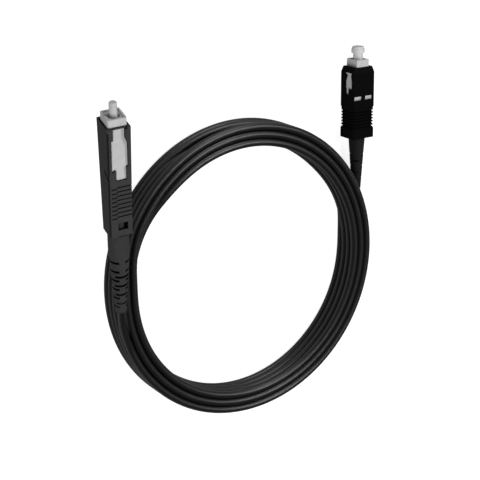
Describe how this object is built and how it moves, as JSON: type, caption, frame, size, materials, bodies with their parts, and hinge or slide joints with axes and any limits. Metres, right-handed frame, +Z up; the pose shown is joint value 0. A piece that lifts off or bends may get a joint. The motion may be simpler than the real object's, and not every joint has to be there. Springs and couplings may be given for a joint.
{
  "type": "fibre optic patch cable",
  "caption": "Coiled simplex fibre optic patch cable with push-pull plugs at its ends, and a dust cap over the ferrule of the shorter plug.",
  "frame": {"origin": "axis of the coil, in the plane that the coil and plug B lie on", "axes": "+Z up along the coil's axis; +Y towards the plugs' ends; +X from plug A towards plug B"},
  "size_m": [0.128, 0.1318, 0.0359],
  "materials": {
    "cable_jacket": "satin black jacket",
    "housing_grey": "matte dark grey",
    "housing_black": "satin black",
    "frame_plastic": "matte pale grey",
    "ceramic": "polished white ceramic",
    "metal": "turned metal",
    "boot_grey": "matte dark grey",
    "boot_black": "matte black",
    "buffer": "tight buffer",
    "cap_plastic": "milky translucent"
  },
  "bodies": {
    "cable": {"cable_coil": "cable_jacket", "cable_lead_a": "cable_jacket", "cable_lead_b": "cable_jacket", "a_plug_frame": "frame_plastic", "a_stop_body": "housing_black", "a_crimp_ring": "metal", "a_boot": "boot_grey", "a_buffered_fibre": "buffer", "a_jacket_end": "cable_jacket", "a_spring": "metal", "b_plug_frame": "frame_plastic", "b_stop_body": "housing_black", "b_crimp_ring": "metal", "b_boot": "boot_black", "b_buffered_fibre": "buffer", "b_jacket_end": "cable_jacket", "b_spring": "metal"},
    "a_sleeve": {"a_outer_housing": "housing_grey"},
    "a_ferrule_set": {"a_ferrule": "ceramic", "a_ferrule_flange": "metal"},
    "b_sleeve": {"b_outer_housing": "housing_black"},
    "b_ferrule_set": {"b_ferrule": "ceramic", "b_ferrule_flange": "metal"},
    "b_cap": {"b_dust_cap": "cap_plastic"}
  },
  "joints": [
    {"name": "a_sleeve_slide", "type": "slide", "parent": "cable", "child": "a_sleeve", "axis": [-0.3055, 0.9182, 0.2521], "range_m": [0, 0.002]},
    {"name": "a_ferrule_slide", "type": "slide", "parent": "cable", "child": "a_ferrule_set", "axis": [0.3055, -0.9182, -0.2521], "range_m": [0, 0.002], "stiffness_N_per_m": 1000, "deforming": ["a_spring"]},
    {"name": "b_sleeve_slide", "type": "slide", "parent": "cable", "child": "b_sleeve", "axis": [-0.184, 0.9829, 0], "range_m": [0, 0.002]},
    {"name": "b_ferrule_slide", "type": "slide", "parent": "cable", "child": "b_ferrule_set", "axis": [0.184, -0.9829, 0], "range_m": [0, 0.002], "stiffness_N_per_m": 1000, "deforming": ["b_spring"]},
    {"name": "b_cap_pull", "type": "slide", "parent": "cable", "child": "b_cap", "axis": [-0.184, 0.9829, 0], "range_m": [0, 0.012]}
  ]
}
